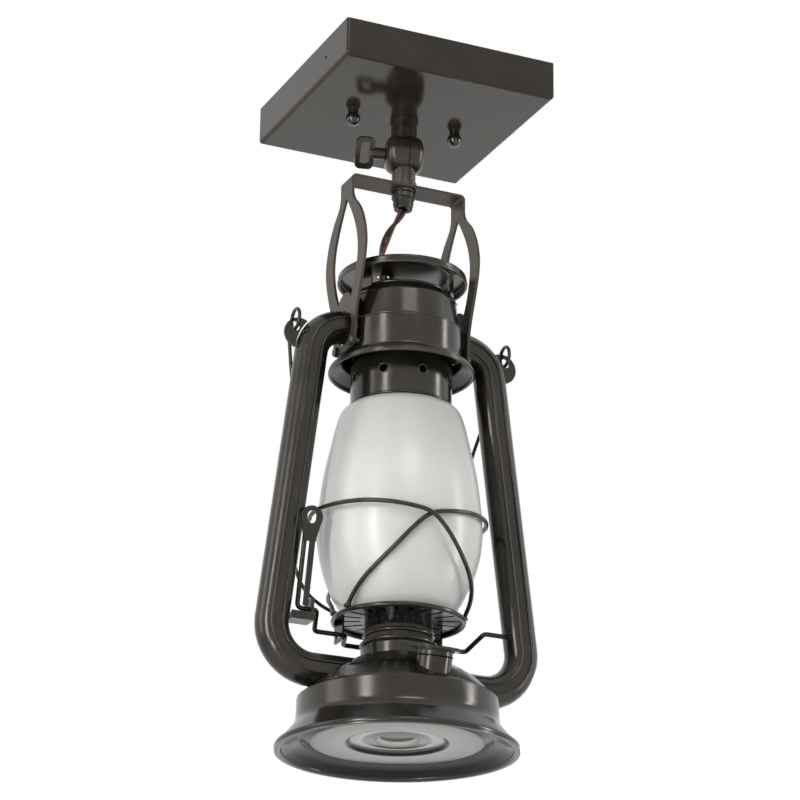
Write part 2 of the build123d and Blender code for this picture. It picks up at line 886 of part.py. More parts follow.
def crown_tabs():
    inner = crown_tab_d / 2
    outer = inner + crown_tab_t
    toe = outer + crown_tab_foot
    top = z_crown - sheet
    lift = crown_tab_t * 1.3
    profile = Polyline(
        (inner, top), (outer + crown_tab_flange, top), (outer + crown_tab_flange, top - crown_tab_t),
        (outer, top - crown_tab_t), (outer, cone_level(outer) + lift), (toe, cone_level(toe) + lift),
        (toe, cone_level(toe) + seat_gap), (inner, cone_level(inner) + seat_gap), close=True,
    )
    tab = extrude(make_face(Plane.XZ * profile), amount=crown_tab_width / 2, both=True)
    turns = [crown_tab_start + step * 360 / crown_tab_count for step in range(crown_tab_count)]
    return [Rot(0, 0, turn) * tab for turn in turns]


# Lamp holder
def bracket_half():
    """Half length of the lamp bracket: it just fits inside the chamber's wall."""
    run = (bracket_rise + seam_rise) / (cap_shoulder_rise + seam_rise)
    wall_r = cap_shoulder_d / 2 + (cap_wall_d - cap_shoulder_d) / 2 * (1 - run) - sheet
    return math.sqrt(wall_r ** 2 - (bracket_width / 2) ** 2) - slip_gap


def socket_bracket():
    half = bracket_half()
    bar = Pos(0, 0, z_bracket - bracket_t / 2) * Box(bracket_width, 2 * half, bracket_t)
    for side in (-1, 1):
        y = side * (half - bracket_t / 2)
        bar += Pos(0, y, z_bracket - bracket_tab / 2) * Box(bracket_width, bracket_t, bracket_tab)
    return bar - rod((0, 0, z_bracket + 1), (0, 0, z_bracket - 5), socket_hub_d + 2 * thread_gap)


def socket_nut():
    return hex_nut(z_bracket, socket_nut_h, socket_nut_flats, socket_hub_d + 2 * thread_gap)


z_socket = z_bracket - bracket_t
z_bulb = z_socket - socket_top_t - seat_gap


def lamp_socket():
    outer = socket_d / 2
    bore = bulb_cap_d / 2 + slip_gap
    hub = socket_hub_d / 2
    hole = stem_bore / 2
    low = z_socket - socket_h
    top = z_socket - socket_top_t
    body = turned(
        (hole, z_socket_top), (hub, z_socket_top), (hub, z_socket), (outer, z_socket), (outer, low),
        (bore, low), (bore, top), (hole, top),
    )
    return body


def bulb_cap():
    return rod((0, 0, z_bulb), (0, 0, z_bulb - bulb_cap_h), bulb_cap_d)


def bulb_glass():
    top = z_bulb - bulb_cap_h
    low = top - bulb_length
    neck = bulb_cap_d / 2 - 1
    wide = bulb_d / 2
    middle = low + wide
    side = Spline((neck, top), (wide, middle), tangents=((0, -1), (0, -1)))
    nose = RadiusArc((wide, middle), (0, low), wide)
    lid = Polyline((0, low), (0, top), (neck, top))
    return revolve(make_face(Plane.XZ * Wire([*side.edges(), *nose.edges(), *lid.edges()])), Axis.Z)


# Globe, plate, guard and the perforated collar on the globe's top
# Shape of the globe: height above its foot and outside radius, as shares of its height and half width
globe_shoulder = [(0.9205, 0.672), (0.905, 0.722)]
globe_shape = [(0.86, 0.776), (0.781, 0.831), (0.712, 0.876), (0.62, 0.93), (0.486, 0.98), (0.378, 1.0),
               (0.277, 0.971), (0.176, 0.898), (0.091, 0.796), (0.044, 0.711)]
shoulder_slope = (0.3, -0.95)


def globe_points(shape, inset=0.0):
    """Profile points of the globe, as (radius, height)."""
    return [(globe_d / 2 * share - inset, z_plate_top + rise * globe_h) for rise, share in shape]


def globe_line(inset=0.0):
    """Profile points of the globe from below its shoulder to its foot."""
    return globe_points(globe_shape, inset) + [(globe_foot_d / 2 - inset, z_plate_top)]


def globe_radius(z):
    """Outside radius of the globe at a height."""
    points = globe_line()
    for (r_above, above), (r_below, below) in zip(points, points[1:]):
        if above >= z >= below:
            return r_above + (r_below - r_above) * (above - z) / (above - below)
    return globe_foot_d / 2


def globe():
    neck = globe_top_d / 2
    inside = neck - globe_wall
    z_inside = z_neck - globe_wall
    outer = globe_line()
    inner = globe_line(globe_wall)
    foot_slope = (-0.8, -0.6)
    shoulder = [(neck, z_neck), *globe_points(globe_shoulder), outer[0]]
    sides = [
        Spline(*shoulder, tangents=((1, 0), shoulder_slope)),
        Spline(*outer, tangents=(shoulder_slope, foot_slope)),
        Line(outer[-1], inner[-1]),
        Spline(*inner, tangents=(shoulder_slope, foot_slope)),
        Spline((inside, z_inside), inner[0], tangents=((1, 0), shoulder_slope)),
        Polyline((neck, z_neck), (neck, z_globe_top), (inside, z_globe_top), (inside, z_inside)),
    ]
    outline = Wire([edge for side in sides for edge in side.edges()])
    return revolve(make_face(Plane.XZ * outline), Axis.Z)


def globe_collar():
    outer = collar_d / 2
    high = z_collar_low + collar_h
    collar = ring(z_collar_low, high, collar_d, collar_d - 2 * sheet)
    bead = Plane.XZ * Pos(outer, z_collar_low + collar_bead_d / 2) * Circle(collar_bead_d / 2)
    collar += revolve(bead, Axis.Z)
    inside = rod((0, 0, z_collar_low - 1), (0, 0, high + 1), collar_d - 2 * sheet)
    collar -= inside
    z_hole = z_collar_low + collar_hole_rise
    for step in range(collar_hole_count):
        turn = step * 360 / collar_hole_count
        start = Vector(0, 0, z_hole)
        collar -= rod(start, start + Vector(collar_d, 0, 0).rotate(Axis.Z, turn), collar_hole_d)
    return collar


crank_low_y = crank_throw * math.cos(math.radians(crank_rest))
crank_low_z = z_crank + crank_throw * math.sin(math.radians(crank_rest))


def globe_plate():
    bead_r = plate_bead_d / 2
    plate = ring(z_plate, z_plate_top, plate_d - plate_bead_d, hub_d - 2 * hub_wall)
    plate += ring(z_seat, z_plate, hub_d, hub_d - 2 * hub_wall)
    bead = Plane.XZ * Pos(plate_d / 2 - bead_r, z_plate_top - bead_r) * Circle(bead_r)
    plate += revolve(bead, Axis.Z)
    slot_middle = (plate_slot_in + plate_slot_out) / 2
    slot = Pos(slot_middle, 0) * SlotOverall(plate_slot_out - plate_slot_in, plate_slot_width)
    for step in range(plate_slot_count):
        turn = Rot(0, 0, (step + 0.5) * 360 / plate_slot_count)
        plate -= extrude(Plane.XY.offset(z_plate - 1) * turn * slot, amount=sheet + 2)
    for side in (-1, 1):
        plate += lift_ear(side)
    return plate


def lift_ear(side):
    """Slotted ear under the plate that rides on the crank wire."""
    swing = crank_throw * (1 - math.cos(math.radians(crank_rest)))
    room = crank_d + 2 * slip_gap
    slot_long = room + swing + slip_gap
    slot_y = crank_low_y + swing / 2
    wide = slot_long + 2 * lift_ear_margin
    low = crank_low_z - room / 2 - lift_ear_margin
    tall = z_plate - low
    x = side * lift_ear_x
    ear = Pos(x, slot_y, low + tall / 2) * Box(lift_ear_t, wide, tall)
    frame = Plane(origin=(x, slot_y, crank_low_z), x_dir=(0, 1, 0), z_dir=(1, 0, 0))
    return ear - extrude(frame * SlotOverall(slot_long, room), amount=lift_ear_t, both=True)


# Shape of a guard hoop: angle from its own side and height as a share of its highest
guard_shape = [(10, 1.0), (30, 0.985), (50, 0.963), (70, 0.92), (90, 0.86), (102, 0.685), (113.5, 0.507),
               (125, 0.37), (137, 0.256), (150, 0.148)]


def guard_line(side, layer):
    """Route of one guard hoop: level on its own side, coming down to the plate on the other."""
    z_end = z_plate_top + guard_d / 2 + seat_gap
    route = []
    for angle, share in guard_shape:
        z = z_plate_top + guard_high * share
        reach = globe_radius(z) + guard_gap + guard_d / 2 + layer * (guard_d + guard_layer_gap)
        turn = math.radians(angle + side * guard_shift)
        route.append((side * reach * math.cos(turn), -reach * math.sin(turn), z))
    turn = math.radians(guard_foot_angle + side * guard_shift)
    foot_r = plate_d / 2 - plate_bead_d / 2
    route.append((side * foot_r * math.cos(turn), -foot_r * math.sin(turn), z_end))
    back = [(x, -y, z) for x, y, z in route]
    return list(reversed(route)) + back


def guard_wire_left():
    return wire(guard_line(-1, 1), guard_d)


def guard_wire_right():
    return wire(guard_line(1, 0), guard_d)


# Lift lever: one cranked wire with a finger tab, turning in a bracket and in the right tube
def crank_point(x, reach, angle=crank_rest):
    """Point of the crank wire at a reach from its turning axis."""
    turn = math.radians(angle)
    return (x, reach * math.cos(turn), z_crank + reach * math.sin(turn))


def lift_lever():
    lean = math.radians(lever_lean)
    arm_top = (-crank_arm_x, -lever_arm * math.sin(lean), z_crank + lever_arm * math.cos(lean))
    step = crank_throw / 2
    points = [
        arm_top,
        (-crank_arm_x, 0, z_crank),
        (-crank_web_x, 0, z_crank),
        crank_point(-crank_web_x + step / 2, crank_throw),
        crank_point(-crank_jog_x - step / 2, crank_throw),
        crank_point(-crank_jog_x, crank_jog, crank_jog_angle),
        crank_point(crank_jog_x, crank_jog, crank_jog_angle),
        crank_point(crank_jog_x + step / 2, crank_throw),
        crank_point(crank_web_x - step / 3, crank_throw),
        (crank_web_x + step / 2, 0, z_crank),
        (crank_end, 0, z_crank),
    ]
    return wire(points, crank_d, radii=crank_bend)


def lever_plane():
    """Plane of the leaning lever arm, X across and Y along the arm, through the turning axis."""
    lean = math.radians(lever_lean)
    return Plane(origin=(0, 0, z_crank), x_dir=(1, 0, 0), z_dir=(0, -math.cos(lean), -math.sin(lean)))


def lever_tab():
    half_eye = lever_eye_d / 2
    eye = Pos(-lever_tab_x, lever_eye_at) * Circle(half_eye)
    web = make_face(Polyline(
        (-lever_tab_x - half_eye, lever_eye_at), (-lever_tab_x + half_eye, lever_eye_at),
        (-lever_strip_x + lever_strip_w / 2, lever_tab_low), (-crank_arm_x - crank_d / 2, lever_tab_low),
        close=True,
    ))
    strip_low = crank_d / 2 + seat_gap
    strip_tall = lever_tab_low - strip_low + half_eye
    strip = Pos(-lever_strip_x, strip_low + strip_tall / 2) * Rectangle(lever_strip_w, strip_tall)
    shape = eye + web + strip
    shape -= Pos(-lever_tab_x, lever_eye_at) * SlotOverall(lever_eye_hole * 1.25, lever_eye_hole, rotation=90)
    face = lever_plane().offset(crank_d / 2 + seat_gap / 2)
    return extrude(face * shape, amount=lever_tab_t)


def lever_bracket():
    x = -lever_bracket_x
    ear_high = z_crank + lever_bracket_w / 2
    ear_low = z_crank - lever_bracket_low
    tall = ear_high - ear_low
    ear = Pos(x, 0, ear_low + tall / 2) * Box(lever_bracket_t, lever_bracket_w, tall)
    reach = tube_low_corner - lever_bracket_x
    web_z = ear_low + lever_bracket_web / 2
    web = Pos(x - reach / 2, 0, web_z) * Box(reach, lever_bracket_w, lever_bracket_web)
    hole = rod((x - reach, 0, z_crank), (x + reach, 0, z_crank), crank_d + 2 * pivot_gap)
    return (ear + web) - tube_room(-1, seat_gap) - hole


# Bail and ears
def ear(side):
    z = z_tube - ear_drop
    frame = Plane(origin=(side * ear_x, 0, z), x_dir=(1, 0, 0), z_dir=(0, -1, 0))
    disc = extrude(frame * Circle(ear_d / 2), amount=ear_t / 2, both=True)
    x = side * eye_x
    z_hole = z_eye - eye_r + (ear_hole_d - bail_d) / 2 - slip_gap
    disc -= rod((x, -ear_t, z_hole), (x, ear_t, z_hole), ear_hole_d)
    return disc - tube_room(side, seat_gap)


def left_ear():
    return ear(-1)


def right_ear():
    return ear(1)


def bail():
    low = bail_length
    half = [
        (bail_low_half, low),
        (bail_corner_half, low - bail_corner_rise),
        (bail_knee_half, low - bail_knee_rise),
        (bail_mid_half, bail_mid),
        (bail_upper_half, bail_upper),
        (bail_leg_half, bail_jog),
        (eye_x, 0),
    ]
    tilt = math.radians(bail_rest)
    normal = Vector(0, math.cos(tilt), math.sin(tilt))
    down = Vector(0, math.sin(tilt), -math.cos(tilt))
    start = Vector(0, 0, z_eye) + normal * eye_r
    points = [tuple(start + Vector(x, 0, 0) + down * drop) for x, drop in both_sides(half)]
    handle = wire(points, bail_d)
    for side in (-1, 1):
        handle += Pos(side * eye_x, 0, z_eye) * Rot(0, 90, 0) * Torus(eye_r, bail_d / 2)
    return handle


# Tank, burner and filler
def tank_top():
    points = [
        (guide_d / 4, z_land),
        (land_d / 2, z_land),
        (dome_mid_d / 2, z_land - dome_mid_drop),
        (skirt_d / 2, z_land - dome_low_drop),
        (skirt_d / 2, z_land - dome_low_drop - skirt_h),
    ]
    dome = turned_sheet(points, [dome_land_bend, dome_mid_bend, dome_edge_bend], sheet)
    for side in (-1, 1):
        dome -= run_room(side, tube_low_end, z_foot)
    hole_d = filler_neck_d + 2 * seat_gap
    return dome - filler_rod(-2 * filler_neck_in, filler_neck_h, hole_d)


def tank_shell():
    points = [
        (wall_top_d / 2, z_foot - wall_top_drop),
        (wall_low_d / 2, z_foot - wall_low_drop),
        (flare_d / 2, z_foot - flare_drop),
        (rim_d / 2, z_rim + rim_lip),
        (rim_d / 2, z_rim),
    ]
    return turned_sheet(points, [flare_bend, rim_bend, rim_bend], sheet)


def tank_bottom():
    z_floor = z_rim + floor_rise
    z_disc = z_floor - floor_groove
    z_boss = z_disc + floor_boss_rise
    z_dimple = z_boss - floor_ring_fall + floor_dimple_rise
    edge = rim_d / 2 - sheet - 2 * slip_gap
    points = [
        (edge, z_rim + seat_gap),
        (floor_d / 2, z_floor),
        (floor_flat_d / 2, z_disc),
        (floor_boss_d / 2, z_disc),
        (floor_boss_d / 2 - floor_boss_rise, z_boss),
        (floor_ring_d / 2, z_boss),
        (floor_dimple_d / 2, z_boss - floor_ring_fall),
        (floor_dimple_d / 2 - floor_boss_rise, z_dimple),
        (floor_centre_d / 2, z_dimple),
    ]
    small = floor_bend / 2
    floor = turned_sheet(points, [floor_bend, floor_bend, small, small, floor_bend, small, small], sheet)
    return floor + rod((0, 0, z_dimple), (0, 0, z_dimple + sheet), floor_centre_d)


def burner_base():
    points = [
        (burner_d / 2 - burner_lip, z_burner),
        (burner_d / 2, z_burner),
        (burner_d / 2, z_land),
    ]
    return turned_sheet(points, 1.2, sheet)


def burner_cone():
    low = cone_low_d / 2
    top = cone_top_d / 2
    guide = guide_d / 2
    z_ring = z_seat - cone_ring_h
    z_guide = z_seat + guide_h
    return turned(
        (low - sheet, z_burner), (low, z_burner), (top - sheet, z_ring), (top, z_ring), (top, z_seat),
        (guide, z_seat), (guide, z_guide), (guide / 3, z_guide), (guide / 3, z_guide - sheet),
        (guide - sheet, z_guide - sheet), (guide - sheet, z_ring),
    )


filler_spot = Vector(filler_r, 0, 0).rotate(Axis.Z, filler_azimuth)
dome_fall = (dome_low_drop - dome_mid_drop) / (skirt_d - dome_mid_d) * 2
z_filler = z_land - dome_mid_drop - dome_fall * (filler_r - dome_mid_d / 2)
filler_side = Vector(0, 1, 0).rotate(Axis.Z, filler_azimuth)
filler_axis = Vector(0, 0, 1).rotate(Axis(origin=(0, 0, 0), direction=filler_side), filler_tilt)


def filler_point(rise):
    """Point on the filler's tilted axis, measured from the tank's dome."""
    return filler_spot + Vector(0, 0, z_filler) + filler_axis * rise


def filler_rod(low, high, diameter):
    return rod(filler_point(low), filler_point(high), diameter)


def filler_neck():
    neck = filler_rod(-filler_neck_in, filler_neck_h, filler_neck_d)
    plane = Plane(origin=filler_point(filler_neck_h - filler_thread_drop), z_dir=filler_axis)
    neck += plane * Cone(filler_thread_d / 2, filler_neck_d / 2, filler_thread_h)
    bore = filler_neck_d - 2 * filler_neck_wall
    return neck - filler_rod(-filler_neck_in - 1, filler_neck_h + 1, bore)


def filler_gasket():
    inner = filler_neck_d - 2 * filler_neck_wall
    top = filler_neck_h + filler_gasket_t
    return filler_rod(filler_neck_h, top, filler_thread_d) - filler_rod(filler_neck_h - 1, top + 1, inner)


def filler_cap():
    low = filler_neck_h + filler_gasket_t
    cap = filler_rod(low, low + filler_cap_h, filler_cap_d)
    plug_d = filler_neck_d - 2 * filler_neck_wall - 2 * slip_gap
    return cap + filler_rod(low - filler_plug_h, low, plug_d)


nodes = [
    canopy_pan, crossbar, ground_screw, canopy_screws, canopy_knobs, stem_nipple, stem_washer, stem_locknut,
    supply_leads, wire_nuts, knuckle_collar, knuckle_upper, knuckle_washer, knuckle_lower, knuckle_key,
    hanger_nipple, hanger_strap, hanger_nut, cord_grip, twin_lead, strap_bolts, strap_nuts, left_tube,
    right_tube, chamber_cap, chamber_band, crown, crown_tabs, socket_bracket, socket_nut, lamp_socket,
    bulb_cap, bulb_glass, globe, globe_collar, globe_plate, guard_wire_left, guard_wire_right, lift_lever, lever_tab, lever_bracket,
    left_ear, right_ear, bail, tank_top, tank_shell, tank_bottom, burner_base, burner_cone, filler_neck,
    filler_gasket, filler_cap,
]

os.makedirs("parts", exist_ok=True)
for node in nodes:
    shape = node()
    if isinstance(shape, list):
        shape = Compound(children=shape)
    export_step(shape, "parts/" + node.__name__ + ".step")

lead_bends = corner_radii(lead_route_free())
route = FilletPolyline(*lead_route_free(), radius=lead_bends)
print("lead length", round(route.length, 1), "radii", [round(r, 1) for r in lead_bends])
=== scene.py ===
import math
import bmesh
import bpy
from mathutils import Matrix, Vector


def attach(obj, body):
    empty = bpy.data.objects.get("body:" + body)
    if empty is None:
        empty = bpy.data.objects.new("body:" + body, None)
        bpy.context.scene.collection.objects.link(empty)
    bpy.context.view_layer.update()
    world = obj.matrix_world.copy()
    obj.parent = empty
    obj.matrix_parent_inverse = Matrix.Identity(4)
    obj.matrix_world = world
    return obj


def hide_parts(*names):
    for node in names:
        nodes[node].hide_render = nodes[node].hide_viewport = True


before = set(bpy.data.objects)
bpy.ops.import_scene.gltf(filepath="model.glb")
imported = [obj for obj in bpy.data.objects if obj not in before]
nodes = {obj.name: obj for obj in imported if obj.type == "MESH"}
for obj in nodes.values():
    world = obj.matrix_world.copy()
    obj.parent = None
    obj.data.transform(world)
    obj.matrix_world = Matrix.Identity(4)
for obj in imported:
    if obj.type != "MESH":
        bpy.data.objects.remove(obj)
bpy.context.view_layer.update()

scene = bpy.context.scene
scene.view_settings.view_transform = "Standard"
mm = 0.001
print("frame loaded:", len(nodes), "nodes")


def link(obj):
    scene.collection.objects.link(obj)
    return obj


def meshPiece(name, bm):
    mesh = bpy.data.meshes.new(name)
    bm.to_mesh(mesh)
    bm.free()
    for face in mesh.polygons:
        face.use_smooth = True
    return link(bpy.data.objects.new(name, mesh))


# Finishes: sizes of clouds and grain are features per metre
finishes = {
    "canopyPaint": {
        "light": (0.034, 0.0275, 0.0215), "dark": (0.022, 0.0178, 0.014), "clouds": 22, "metal": 0.0, "gloss": 0.26,
        "rough": (0.11, 0.17), "grain": 2600, "bump": 0.015, "coat": 0.0,
    },
    "strapPaint": {
        "light": (0.066, 0.055, 0.045), "dark": (0.046, 0.038, 0.031), "clouds": 60, "metal": 0.0, "gloss": 0.30,
        "rough": (0.40, 0.52), "grain": 2600, "bump": 0.05, "coat": 0.0,
    },
    "lanternEnamel": {
        "light": (0.016, 0.0138, 0.0112), "dark": (0.005, 0.0042, 0.0035), "clouds": 60, "metal": 0.0, "gloss": 0.50,
        "rough": (0.15, 0.25), "grain": 3400, "bump": 0.03, "coat": 0.0,
    },
    "knuckleCasting": {
        "light": (0.036, 0.029, 0.022), "dark": (0.013, 0.010, 0.008), "clouds": 140, "metal": 0.0, "gloss": 0.5,
        "rough": (0.24, 0.36), "grain": 2400, "bump": 0.08, "coat": 0.0,
    },
    "wireBronze": {
        "light": (0.030, 0.024, 0.018), "dark": (0.013, 0.011, 0.008), "clouds": 120, "metal": 0.0, "gloss": 0.4,
        "rough": (0.22, 0.36), "grain": 3000, "bump": 0.05, "coat": 0.0,
    },
    # Painted highlight: a lighter copy of the dark enamel, worn by the rolled rims, seams, burner rings and eyelets
    "rimPaintedHighlight": {
        "light": (0.060, 0.053, 0.046), "dark": (0.030, 0.027, 0.023), "clouds": 90, "metal": 0.3, "gloss": 0.5,
        "rough": (0.14, 0.24), "grain": 3000, "bump": 0.03, "coat": 0.0,
    },
    "burnerBlack": {
        "light": (0.060, 0.056, 0.050), "dark": (0.024, 0.022, 0.020), "clouds": 200, "metal": 0.0, "gloss": 0.3,
        "rough": (0.55, 0.75), "grain": 1500, "bump": 0.35, "coat": 0.0,
    },
    "knobBlack": {
        "light": (0.016, 0.015, 0.014), "dark": (0.008, 0.008, 0.007), "clouds": 150, "metal": 0.0, "gloss": 0.5,
        "rough": (0.06, 0.12), "grain": 2500, "bump": 0.01, "coat": 0.3,
    },
    "boltDark": {
        "light": (0.110, 0.104, 0.096), "dark": (0.055, 0.052, 0.048), "clouds": 300, "metal": 0.6, "gloss": 0.4,
        "rough": (0.28, 0.42), "grain": 1800, "bump": 0.06, "coat": 0.0,
    },
    "zincSteel": {
        "light": (0.62, 0.61, 0.58), "dark": (0.40, 0.39, 0.36), "clouds": 300, "metal": 1.0, "gloss": 0.5,
        "rough": (0.30, 0.45), "grain": 1800, "bump": 0.08, "coat": 0.0,
    },
    "bareAluminium": {
        "light": (0.80, 0.80, 0.79), "dark": (0.62, 0.62, 0.61), "clouds": 260, "metal": 1.0, "gloss": 0.5,
        "rough": (0.25, 0.38), "grain": 1800, "bump": 0.05, "coat": 0.0,
    },
    "gripPlastic": {
        "light": (0.016, 0.015, 0.015), "dark": (0.008, 0.008, 0.008), "clouds": 180, "metal": 0.0, "gloss": 0.35,
        "rough": (0.36, 0.50), "grain": 2200, "bump": 0.12, "coat": 0.0,
    },
    "socketGlaze": {
        "light": (0.060, 0.056, 0.052), "dark": (0.035, 0.033, 0.031), "clouds": 80, "metal": 0.0, "gloss": 0.5,
        "rough": (0.22, 0.34), "grain": 900, "bump": 0.03, "coat": 0.0,
    },
    "connectorPlastic": {
        "light": (0.62, 0.22, 0.035), "dark": (0.48, 0.16, 0.025), "clouds": 160, "metal": 0.0, "gloss": 0.5,
        "rough": (0.38, 0.50), "grain": 1600, "bump": 0.08, "coat": 0.0,
    },
    "fibre": {
        "light": (0.16, 0.08, 0.05), "dark": (0.09, 0.045, 0.03), "clouds": 500, "metal": 0.0, "gloss": 0.3,
        "rough": (0.65, 0.85), "grain": 1800, "bump": 0.25, "coat": 0.0,
    },
    "gasketRubber": {
        "light": (0.040, 0.039, 0.038), "dark": (0.022, 0.022, 0.021), "clouds": 220, "metal": 0.0, "gloss": 0.4,
        "rough": (0.60, 0.75), "grain": 1500, "bump": 0.15, "coat": 0.0,
    },
    "leadRed": {
        "light": (0.150, 0.034, 0.020), "dark": (0.080, 0.018, 0.012), "clouds": 260, "metal": 0.0, "gloss": 0.4,
        "rough": (0.30, 0.42), "grain": 2600, "bump": 0.05, "coat": 0.0,
    },
    "leadBlack": {
        "light": (0.024, 0.017, 0.014), "dark": (0.012, 0.009, 0.008), "clouds": 260, "metal": 0.0, "gloss": 0.4,
        "rough": (0.30, 0.42), "grain": 2600, "bump": 0.05, "coat": 0.0,
    },
}


# What all painted finishes share: tint of the shine, depth of the grain, and where noise values mostly lie
paintBase = {
    "tint": (1.0, 0.94, 0.87, 1), "coatRough": 0.06, "grainDepth": 0.0004,
    "tones": (0.32, 0.68), "noiseSpan": (0.3, 0.7),
}


def addNode(tree, kind, at, **values):
    node = tree.nodes.new(kind)
    node.location = at
    for name, value in values.items():
        node.inputs[name].default_value = value
    return node


def rangeNode(tree, at, source, target):
    node = addNode(tree, "ShaderNodeMapRange", at)
    node.inputs["From Min"].default_value, node.inputs["From Max"].default_value = source
    node.inputs["To Min"].default_value, node.inputs["To Max"].default_value = target
    return node


def toneRamp(tree, at, look, places):
    ramp = addNode(tree, "ShaderNodeValToRGB", at)
    for stop, place, tone in zip(ramp.color_ramp.elements, places, (look["dark"], look["light"])):
        stop.position = place
        stop.color = (*tone, 1)
    return ramp


def paintedFinish(name, look):
    mat = bpy.data.materials.new(name)
    mat.use_nodes = True
    tree = mat.node_tree
    shader = tree.nodes["Principled BSDF"]
    shader.inputs["Metallic"].default_value = look["metal"]
    shader.inputs["Specular IOR Level"].default_value = look["gloss"]
    shader.inputs["Specular Tint"].default_value = paintBase["tint"]
    shader.inputs["Coat Weight"].default_value = look["coat"]
    shader.inputs["Coat Roughness"].default_value = paintBase["coatRough"]
    place = addNode(tree, "ShaderNodeTexCoord", (-1100, 0))
    clouds = addNode(tree, "ShaderNodeTexNoise", (-850, 200), Scale=look["clouds"], Detail=6.0, Roughness=0.6)
    grain = addNode(tree, "ShaderNodeTexNoise", (-850, -200), Scale=look["grain"], Detail=3.0, Roughness=0.55)
    ramp = toneRamp(tree, (-560, 220), look, paintBase["tones"])
    spread = rangeNode(tree, (-560, -60), paintBase["noiseSpan"], look["rough"])
    bump = addNode(tree, "ShaderNodeBump", (-300, -250), Strength=look["bump"], Distance=paintBase["grainDepth"])
    tree.links.new(place.outputs["Object"], clouds.inputs["Vector"])
    tree.links.new(place.outputs["Object"], grain.inputs["Vector"])
    tree.links.new(clouds.outputs["Fac"], ramp.inputs["Fac"])
    tree.links.new(ramp.outputs["Color"], shader.inputs["Base Color"])
    tree.links.new(clouds.outputs["Fac"], spread.inputs["Value"])
    tree.links.new(spread.outputs["Result"], shader.inputs["Roughness"])
    tree.links.new(grain.outputs["Fac"], bump.inputs["Height"])
    tree.links.new(bump.outputs["Normal"], shader.inputs["Normal"])
    return mat


globeGlass = {
    "light": (0.735, 0.755, 0.72), "dark": (0.665, 0.685, 0.65), "clouds": 18, "rough": 0.30,
    "coat": 0.12, "coatRough": 0.18, "scatter": 0.25, "scatterDepth": (0.012, 0.012, 0.011),
    "paintedShade": 0.74, "paintedShadeTop": -0.198, "paintedShadeLow": -0.246,  # painted shade: the glass is darker towards the top, under the collar
}


def frostedGlass(name, look):
    mat = bpy.data.materials.new(name)
    mat.use_nodes = True
    tree = mat.node_tree
    shader = tree.nodes["Principled BSDF"]
    shader.inputs["Roughness"].default_value = look["rough"]
    shader.inputs["Coat Weight"].default_value = look["coat"]
    shader.inputs["Coat Roughness"].default_value = look["coatRough"]
    shader.inputs["Subsurface Weight"].default_value = look["scatter"]
    shader.inputs["Subsurface Radius"].default_value = look["scatterDepth"]
    shader.inputs["Subsurface Scale"].default_value = 1.0
    place = addNode(tree, "ShaderNodeTexCoord", (-900, 0))
    clouds = addNode(tree, "ShaderNodeTexNoise", (-650, 150), Scale=look["clouds"], Detail=3.0, Roughness=0.5)
    ramp = toneRamp(tree, (-350, 150), look, paintBase["noiseSpan"])
    # Painted shade: the base colour is scaled down with height, so the glass is darker towards the top
    parts = addNode(tree, "ShaderNodeSeparateXYZ", (-650, -150))
    paintedShadeFade = rangeNode(tree, (-350, -150), (look["paintedShadeLow"], look["paintedShadeTop"]), (1.0, look["paintedShade"]))
    tone = addNode(tree, "ShaderNodeVectorMath", (-120, 60))
    tone.operation = "SCALE"
    tree.links.new(place.outputs["Object"], clouds.inputs["Vector"])
    tree.links.new(place.outputs["Object"], parts.inputs["Vector"])
    tree.links.new(parts.outputs["Z"], paintedShadeFade.inputs["Value"])
    tree.links.new(clouds.outputs["Fac"], ramp.inputs["Fac"])
    tree.links.new(ramp.outputs["Color"], tone.inputs[0])
    tree.links.new(paintedShadeFade.outputs["Result"], tone.inputs["Scale"])
    tree.links.new(tone.outputs["Vector"], shader.inputs["Base Color"])
    return mat


# Underside of the tank: dark enamel with painted reflections, bright and dark rings of painted highlight and shade
# at given radii; radius in mm and tone
tankFloor = {
    "reach": 66.0, "tint": (1.0, 0.965, 0.93), "metal": 0.6, "gloss": 0.12, "rough": (0.10, 0.18), "clouds": 40,
    "rings": [
        (0.0, 0.03), (8.4, 0.03), (10.6, 0.48), (12.6, 0.14), (17.6, 0.12), (19.6, 0.34),  # dimple and ring
        (24.4, 0.24), (25.6, 0.02), (27.2, 0.02), (28.6, 0.22), (43.5, 0.13),  # step of the boss, then the disc
        (46.2, 0.015), (51.6, 0.01), (53.4, 0.08), (57.0, 0.02), (65.0, 0.015),  # groove and slope
    ],
}


